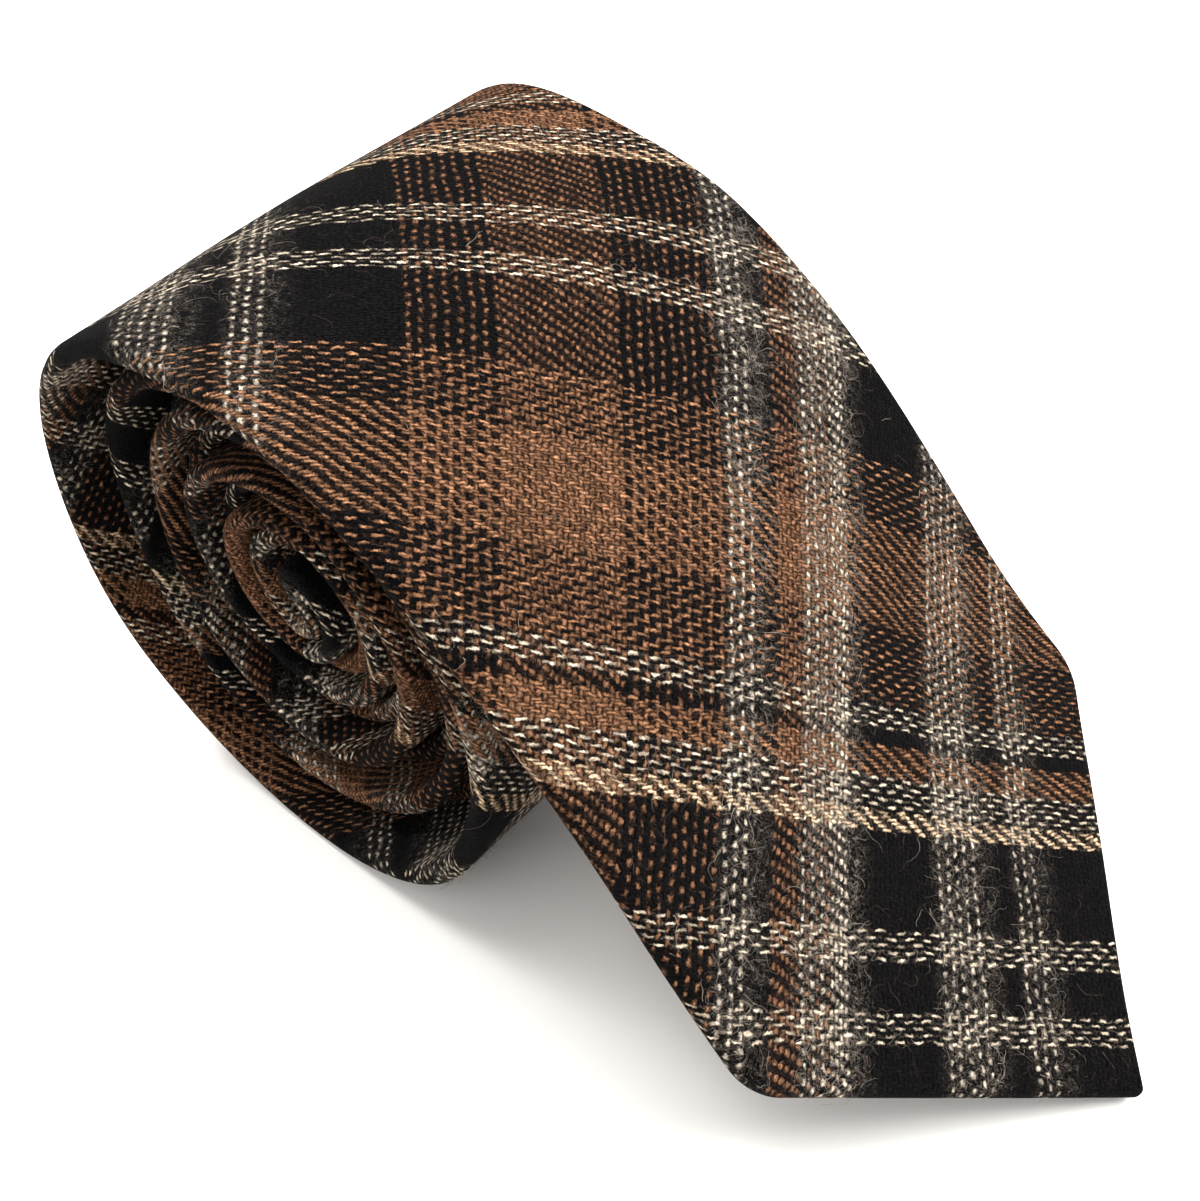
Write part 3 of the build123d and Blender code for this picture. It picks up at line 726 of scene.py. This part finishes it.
def near_white(u, v):
    """How much pale nap there is at a place in the plaid."""
    amount = np.zeros_like(u)
    for run, pitch, sett, bands, spread in (
            (u, WEFT_PITCH, WEFT, WHITE_WEFT, 2.2), (v, WARP_PITCH, WARP, WHITE_WARP, 2.0)):
        thread = (run / pitch) % sum(count for count, _, _ in sett)
        for first, last, strength in bands:
            away = np.maximum(np.maximum(first - thread, thread - last), 0)
            amount += strength * np.exp(-(away / spread) ** 2)
    return amount


def nap(name, first, last, count, seed):
    """Loose fibres over the front and the folded edges of a length of the tie."""
    draw = np.random.default_rng(seed)
    tries = count * TRIES_PER_HAIR
    along = draw.uniform(first, last, tries)
    half = half_width(along)
    across = draw.uniform(-1, 1, tries) * np.maximum(half - 0.6, 0.1)
    u, v = (along - across) / math.sqrt(2), (along + across) / math.sqrt(2)
    amount = near_white(u, v)
    chance = (STRAY_CHANCE + STRIPE_CHANCE * amount) * half / BLADE_HALF
    keep = np.flatnonzero(draw.uniform(0, SURE_CHANCE, tries) < chance)[:count]
    pale_chance = np.clip(STRAY_PALE + STRIPE_PALE * amount[keep], 0, MOST_PALE)
    pale = draw.uniform(0, 1, tries)[keep] < pale_chance
    number = len(keep)
    length = draw.gamma(4.0, 0.5, number).clip(SHORTEST_HAIR, LONGEST_HAIR)
    radius = THIN_HAIR + (THICK_HAIR - THIN_HAIR) * draw.uniform(0, 1, number) ** 4
    heading = draw.uniform(0, 2 * math.pi, number)
    # pale fibres mostly lean sideways out of the white weft
    sideways = pale & (draw.uniform(0, 1, number) < 0.6)
    heading = np.where(sideways, math.radians(-45) + draw.normal(0, 0.7, number), heading)
    curl = draw.normal(0, 0.3, number)
    wave = draw.uniform(0.1, 0.6, number)
    phase = draw.uniform(0, 2 * math.pi, number)
    rise = draw.uniform(LOWEST_RISE, HIGHEST_RISE, number)
    steps = np.arange(HAIR_POINTS)
    turn = heading[:, None] + curl[:, None] * steps + wave[:, None] * np.sin(steps * 1.5 + phase[:, None])
    stride = length[:, None] / (HAIR_POINTS - 1)
    x = across[keep][:, None] + np.cumsum(np.cos(turn) * stride, 1)
    s = along[keep][:, None] + np.cumsum(np.sin(turn) * stride, 1)
    share = steps / (HAIR_POINTS - 1)
    up = rise[:, None] * np.sin(math.pi * (0.08 + 0.84 * share)) + SKIN
    # fibres that leave the edge hang round it
    limit = half_width(s)
    over = np.maximum(abs(x) - limit + 0.5, 0)
    up = up - over * 1.2
    x = np.sign(x) * np.minimum(abs(x), limit + EDGE_HANG)
    line = np.stack([x, np.maximum(s, 0.5), up], 2)
    ahead = np.gradient(line, axis=1)
    ahead /= np.linalg.norm(ahead, axis=2, keepdims=True) + 1e-9
    beside = np.cross(ahead, (0.05, 0.1, 1.0))
    beside /= np.linalg.norm(beside, axis=2, keepdims=True) + 1e-9
    above = np.cross(beside, ahead)
    taper = (radius[:, None] * (1.0 - 0.55 * share))[:, :, None]
    rings = np.stack([line + taper * (math.cos(a) * beside + math.sin(a) * above)
                      for a in HAIR_CORNERS], 2)
    grid = np.arange(number * HAIR_POINTS * 3).reshape(number, HAIR_POINTS, 3)
    after = np.roll(grid, -1, 2)
    sides = np.stack([grid[:, :-1], after[:, :-1], after[:, 1:], grid[:, 1:]], 3).reshape(-1, 4)
    ends = np.concatenate([grid[:, 0, ::-1], grid[:, -1]])
    mesh = bpy.data.meshes.new(name)
    mesh.from_pydata(rings.reshape(-1, 3).tolist(), [], sides.tolist() + ends.tolist())
    mesh.materials.append(PALE_FIBRE)
    mesh.materials.append(DARK_FIBRE)
    finish = np.where(pale, 0, 1)
    per_face = np.concatenate([np.repeat(finish, (HAIR_POINTS - 1) * 3), finish, finish])
    mesh.polygons.foreach_set("material_index", per_face)
    piece = closed_piece(name, mesh)
    return piece


bends_at_tip(nap("nap_lower", 1.0, LOWER_END, 2800, 11))
bends_at_roll(nap("nap_upper", LOWER_END, UPPER_END, 1300, 12))
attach(nap("nap_roll", UPPER_END, UPPER_END + 215, 3400, 13), "roll")

# ------------------------------------------------------------
# Interlining: one strip of brushed wool and cotton, loose inside the shell, which gives the tie its
# body.  Cut to the tie's outline, a little smaller all round.

INTERLINING_INSET = 1.7
LEAD = INTERLINING_INSET * math.sqrt(2)     # from the tie's point to the interlining's
INTERLINING_TOP = 0.85


def flat_layer(name, outline_at, first, last, depth, thickness, step, across=16, exact=()):
    """A layer of the tie between two stations, as wide as outline_at says, rolled up with its thickness."""
    stations = np.unique(np.concatenate([np.arange(first, last, step), [last], exact]))
    half = outline_at(stations)
    shares = np.linspace(1, -1, across + 1)
    x = half[:, None] * shares[None, :]
    y = np.repeat(stations[:, None], across + 1, 1)
    points = np.stack([x, y, np.full_like(x, -depth)], 2).reshape(-1, 3)
    grid = np.arange(len(points)).reshape(x.shape)
    faces = quads(grid)
    mesh = bpy.data.meshes.new(name)
    mesh.from_pydata(points.tolist(), [], faces.tolist())
    flat = mesh.uv_layers.new(name="weave")
    corners = points[faces.ravel()]
    flat.data.foreach_set("uv", corners[:, :2].ravel().astype(np.float32))
    return finish_sheet(mesh, name, thickness)


def interlining_half(along):
    """Half-width of the interlining at a station."""
    shoulder = LEAD - INTERLINING_INSET
    stations = [LEAD, BLADE_HALF + shoulder, FOLD, TOTAL - TAIL_HALF - shoulder, TOTAL - LEAD]
    return np.interp(along, stations, [0.0, BLADE_HALF - INTERLINING_INSET, NECK_HALF - INTERLINING_INSET,
                                       TAIL_HALF - INTERLINING_INSET, 0.0])


def brushed_interlining():
    """Brushed wool and cotton interlining: undyed, matt and hairy, with a plain weave under the nap."""
    material, tree, shader = surface("brushed_wool_cotton_interlining")
    weave = add(tree, "UVMap", {"uv_map": "weave"})
    nap = noise(tree, weave, 2.4, 4.0)
    yarns = stretched(tree, weave, (4.2, 4.2, 0))
    yarns = add(tree, "VectorMath", {"operation": "SINE"}, {0: yarns})
    split = add(tree, "SeparateXYZ", {}, {0: yarns}).node
    plain = calc(tree, "MULTIPLY", split.outputs[0], split.outputs[1])
    height = calc(tree, "MULTIPLY_ADD", plain, 0.25, nap)
    tone = ranged(tree, height, 0.1, 0.9)
    paint = tinted(tree, tone, colour("a89f8f"), colour("ded6c6"))
    finished(tree, shader, paint, height, 0.7, 0.0002, 0.95)
    shader.inputs["Sheen Weight"].default_value = 0.3
    return material


INTERLINING = brushed_interlining()
for name, first, last, thickness, node in (
        ("interlining_lower", LEAD, LOWER_END, 0.75, "interlining_tip"),
        ("interlining_upper", LOWER_END, UPPER_END, 0.95, "interlining_fall"),
        ("interlining_inside_roll", UPPER_END, TOTAL - LEAD, 0.75, "interlining_rolled")):
    piece = flat_layer(name, interlining_half, first, last, INTERLINING_TOP, thickness, 1.6, across=10,
                       exact=[s for s in (BLADE_HALF + 0.7, *CORE_STATIONS) if first < s < last])
    made_of(piece, INTERLINING, node)
    follows(piece, name.split("_")[-1])
    stations = np.linspace(first, last, 500)

# ------------------------------------------------------------
# Tipping: the lining behind each point, a black satin cut to a diamond and slip-stitched under the
# turned-back edges.

TIPPING_DEPTH, TIPPING_THICKNESS, TUCK = 1.7, 0.2, 3.6


def diamond(point, side, half, gable):
    """The lining's half-width by station: from under the hem, out, and in to where the edges meet."""
    widest = HEM + half * WINDOW_SHARE
    stations = [point + side * (HEM - TUCK), point + side * widest, point + side * (gable + TUCK)]
    widths = [0.0, half * WINDOW_SHARE + TUCK, 0.0]
    order = np.argsort(stations)
    return np.array(stations)[order], np.array(widths)[order]


def satin_lining():
    """Polyester satin lining: black, smooth, with fine floats across it that give a soft sheen one way."""
    material, tree, shader = surface("black_satin_lining")
    weave = add(tree, "UVMap", {"uv_map": "weave"})
    floats = stretched(tree, weave, (1.2, 14.0, 1.0))
    threads = noise(tree, floats, 1.0, 2.0)
    cloud = noise(tree, weave, 0.15, 2.0)
    tone = calc(tree, "MULTIPLY_ADD", cloud, 0.4, threads)
    tone = ranged(tree, tone, 0.4, 1.0)
    paint = tinted(tree, tone, colour("17151a"), colour("302c33"))
    finished(tree, shader, paint, threads, 0.5, 0.00005, 0.62)
    shader.inputs["Anisotropic"].default_value = 0.5
    return material


SATIN = satin_lining()
for name, point, side, half, gable, node, body in (
        ("blade_lining", 0.0, 1, BLADE_HALF, BLADE_GABLE, "blade_tipping", "blade_tip"),
        ("tail_lining", TOTAL, -1, TAIL_HALF, TAIL_GABLE, "tail_tipping", "roll")):
    stations, widths = diamond(point, side, half, gable)
    first, last = stations[0], stations[-1]
    piece = flat_layer(name, lambda s: np.interp(s, stations, widths), first, last, TIPPING_DEPTH,
                       TIPPING_THICKNESS, 1.2, across=24, exact=[stations[1]])
    made_of(piece, SATIN, node)
    if body == "roll":
        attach(piece, "roll")
    else:
        bends_at_tip(piece)

# ------------------------------------------------------------
# Sewing: black polyester thread.  One slip stitch closes the centre of the back from end to end, a
# bar tack guards each gable, and a seam joins blade to neck and neck to tail.

THREAD = 0.36


def spun_thread():
    """Spun polyester sewing thread: black, two plies twisted together, with a slight shine."""
    material, tree, shader = surface("black_polyester_thread")
    place = add(tree, "TexCoord").node.outputs["Object"]
    plies = add(tree, "TexWave", {"bands_direction": "DIAGONAL"},
                {"Vector": place, "Scale": 900.0, "Distortion": 1.0})
    paint = tinted(tree, plies, colour("0f0e10"), colour("39353a"))
    finished(tree, shader, paint, plies, 0.5, 0.00006, 0.5)
    return material


SEWING_THREAD = spun_thread()


def thread_tube(line, radius=THREAD / 2, sides=6):
    """Points and faces of a round thread along a flat line of (across, along, up), closed at both ends."""
    line = np.array(line, float)
    ahead = np.gradient(line, axis=0)
    ahead /= np.linalg.norm(ahead, axis=1)[:, None]
    up = np.cross(ahead, np.roll(ahead, 1, 1) + (0.3, 0.1, 0.9))
    up /= np.linalg.norm(up, axis=1)[:, None]
    for number in range(1, len(up)):
        up[number] = up[number - 1] - ahead[number] * (up[number - 1] @ ahead[number])
        up[number] /= np.linalg.norm(up[number])
    beside = np.cross(ahead, up)
    turn = np.linspace(0, 2 * math.pi, sides, endpoint=False)
    rings = (line[:, None] + radius * (np.cos(turn)[None, :, None] * up[:, None]
                                      + np.sin(turn)[None, :, None] * beside[:, None]))
    count = len(line)
    grid = np.arange(count * sides).reshape(count, sides)
    after = np.roll(grid, -1, 1)
    faces = np.stack([grid[:-1], after[:-1], after[1:], grid[1:]], 2).reshape(-1, 4).tolist()
    return rings.reshape(-1, 3), faces + [grid[0][::-1].tolist(), grid[-1].tolist()]


def sewn(name, lines, radius=THREAD / 2, sides=6):
    """One piece made of several runs of thread, rolled up with the tie."""
    points, faces = [], []
    for line in lines:
        more, shapes = thread_tube(line, radius, sides)
        start = sum(len(p) for p in points)
        points.append(more)
        faces += [[start + corner for corner in face] for face in shapes]
    mesh = bpy.data.meshes.new(name)
    mesh.from_pydata(np.concatenate(points).tolist(), [], faces)
    piece = closed_piece(name, mesh)
    mesh.materials.append(SEWING_THREAD)
    return piece


def slip_line(first, last, step=0.9):
    """The slip stitch: it crosses the seam at each stitch, 7 mm apart."""
    along = np.arange(first, last, step)
    return np.stack([0.14 * np.sin(along * 2 * math.pi / 7), along, np.full_like(along, -THICKNESS + 0.4)], 1)


for name, first, last, node in (
        ("slip_stitch_lower", BLADE_GABLE + 1, LOWER_END, None),
        ("slip_stitch_upper", LOWER_END, UPPER_END, "slip_stitch_fall"),
        ("slip_stitch_inside_roll", UPPER_END, TOTAL - TAIL_GABLE - 1, "slip_stitch_rolled")):
    piece = sewn(name, [slip_line(first, last)])
    if node:
        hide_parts(node)
    follows(piece, name.split("_")[-1])


def bar_tack(name, middle, node):
    """A bar tack: long stitches across the seam, bound side by side with short ones."""
    lines = []
    up = -THICKNESS - 0.14
    for offset in (-0.35, 0.0, 0.35):
        x = np.linspace(-4.4, 4.4, 24)
        lines.append(np.stack([x, np.full_like(x, middle + offset), up - 0.05 * np.cos(x / 4.4 * 1.5)], 1))
    turn = np.linspace(0, 2 * math.pi * 14, 14 * 12)
    x = np.linspace(-4.3, 4.3, len(turn))
    lines.append(np.stack([x, middle + 0.78 * np.cos(turn), up - 0.1 + 0.22 * np.sin(turn)], 1))
    piece = sewn(name, lines, radius=0.13)
    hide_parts(node)
    return piece


bends_at_tip(bar_tack("bar_tack_blade", 64.8, "blade_bar_tack"))
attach(bar_tack("bar_tack_tail", TOTAL - TAIL_GABLE - 4.8, "tail_bar_tack"), "roll")


def seam_row(name, station, node):
    """The machine seam between two lengths of shell: short stitches across the front and across the back."""
    half = float(half_width(station)) - 1.6
    lines = []
    for depth, gap in ((0.4, 0.0), (THICKNESS - 0.4, 0.6)):
        starts = np.arange(gap, half - 1.9, 2.0)
        for start in starts:
            for side in (-1, 1):
                x = side * np.linspace(start + 0.15, start + 1.85, 6)
                lines.append(np.stack([x, np.full_like(x, station), np.full_like(x, -depth)], 1))
    piece = sewn(name, lines, radius=0.1, sides=5)
    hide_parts(node)
    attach(piece, "roll")


seam_row("seam_blade_to_neck", BLADE_SEAM, "blade_neck_seam")
seam_row("seam_neck_to_tail", TAIL_SEAM, "neck_tail_seam")

# ------------------------------------------------------------
# Keeper loop and labels, hidden on the back of the blade inside the roll: a band of the same flannel
# that holds the tail, a blank woven satin label, and a blank care label.


def woven_label(name, dark, light):
    """A woven satin ribbon: fine ribs across it, slightly shiny.  It carries no lettering."""
    material, tree, shader = surface(name)
    weave = add(tree, "UVMap", {"uv_map": "weave"})
    ribs = stretched(tree, weave, (0.6, 20.0, 1.0))
    ribs = noise(tree, ribs, 1.0, 1.0)
    paint = tinted(tree, ribs, colour(dark), colour(light))
    finished(tree, shader, paint, ribs, 0.5, 0.00005, 0.42)
    return material


def band(name, first, length, width, depth, thickness, material, node):
    """A flat band across the back of the tie, laid on the cloth."""
    piece = flat_layer(name, lambda s: np.full_like(s, width / 2), first, first + length, depth, thickness,
                       0.9, across=22)
    made_of(piece, material, node)
    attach(piece, "roll")


def end_rows(name, first, length, width, depth, node):
    """Short stitches across both ends of a band."""
    lines = []
    for side in (-1, 1):
        for start in np.arange(first + 0.4, first + length - 1.5, 2.0):
            y = np.linspace(start, start + 1.5, 6)
            x = np.full_like(y, side * (width / 2 - 1.8))
            lines.append(np.stack([x, y, np.full_like(y, -depth - 0.06)], 1))
    piece = sewn(name, lines, radius=0.09, sides=5)
    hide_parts(node)
    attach(piece, "roll")


LABEL_SATIN = woven_label("black_woven_satin_ribbon", "1a181c", "35323a")
CARE_SATIN = woven_label("white_printed_satin_ribbon", "cfcbc4", "efece6")
ON_BACK = THICKNESS + 0.1
band("keeper_band", 188.0, 9.0, 44.0, ON_BACK, 0.3, FLANNEL, "keeper_loop")
end_rows("keeper_band_stitches", 188.0, 9.0, 44.0, ON_BACK + 0.3, "keeper_loop_tacks")
band("blank_woven_label", 204.0, 28.0, 46.0, ON_BACK, 0.2, LABEL_SATIN, "maker_label")
end_rows("blank_woven_label_stitches", 204.0, 28.0, 46.0, ON_BACK + 0.2, "maker_label_stitches")
band("blank_care_label", 262.0, 24.0, 16.0, ON_BACK, 0.2, CARE_SATIN, "care_label")
care_lines = []
for start in np.arange(-6.3, 5.0, 2.0):
    x = np.linspace(start, start + 1.5, 6)
    care_lines.append(np.stack([x, np.full_like(x, 284.0), np.full_like(x, -ON_BACK - 0.26)], 1))
care_stitches = sewn("blank_care_label_stitches", care_lines, radius=0.09, sides=5)
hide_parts("care_label_stitches")
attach(care_stitches, "roll")

# ------------------------------------------------------------
# Floor, light and camera: a plain pale table under large soft lamps, seen from above the blade's point.

bpy.ops.object.select_all(action="DESELECT")
bpy.ops.mesh.primitive_plane_add(size=6, location=(0, 0, -0.0002))
floor = bpy.context.object
floor.name = "floor"
material, _, shader = surface("pale_matt_table")
shader.inputs["Base Color"].default_value = colour("f4f2ee")
shader.inputs["Roughness"].default_value = 0.9
floor.data.materials.append(material)
floor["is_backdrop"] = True

world = bpy.data.worlds.new("studio")
bpy.context.scene.world = world
world.use_nodes = True
world.node_tree.nodes["Background"].inputs["Color"].default_value = colour("fdfcfa")
world.node_tree.nodes["Background"].inputs["Strength"].default_value = 0.3
for name, place, power, size in (
        ("key", (0.35, -0.45, 0.8), 17.0, 0.6),
        ("fill", (-0.65, -0.1, 0.7), 5.0, 0.8),
        ("top", (0.05, 0.25, 0.9), 18.0, 0.7)):
    light = bpy.data.objects.new(name, bpy.data.lights.new(name, "AREA"))
    light.data.energy = power
    light.data.size = size
    light.location = place
    light.rotation_euler = (Vector((0, 0, 0.04)) - Vector(place)).to_track_quat("-Z", "Y").to_euler()
    bpy.context.scene.collection.objects.link(light)

LENS, SENSOR = 41.09276, 36.0      # millimetres
CAMERA_PLACE = Vector((-0.09655, -0.07073, 0.15561))
FORWARD, UP = Vector((0.55441, 0.4597, -0.69376)), Vector((0.55014, 0.42307, 0.71997))
right = FORWARD.cross(UP).normalized()
up = right.cross(FORWARD).normalized()
camera = bpy.data.objects.new("camera", bpy.data.cameras.new("camera"))
camera.data.lens = LENS
camera.data.sensor_width = SENSOR
camera.data.clip_start = 0.005
camera.matrix_world = Matrix((
    (right.x, up.x, -FORWARD.x, CAMERA_PLACE.x), (right.y, up.y, -FORWARD.y, CAMERA_PLACE.y),
    (right.z, up.z, -FORWARD.z, CAMERA_PLACE.z), (0, 0, 0, 1)))
bpy.context.scene.collection.objects.link(camera)
bpy.context.scene.camera = camera
bpy.context.scene.view_settings.view_transform = "Standard"

size = {"cad": [list(CAD_LOW), list(CAD_HIGH)], "visual": [list(corner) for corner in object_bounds()]}
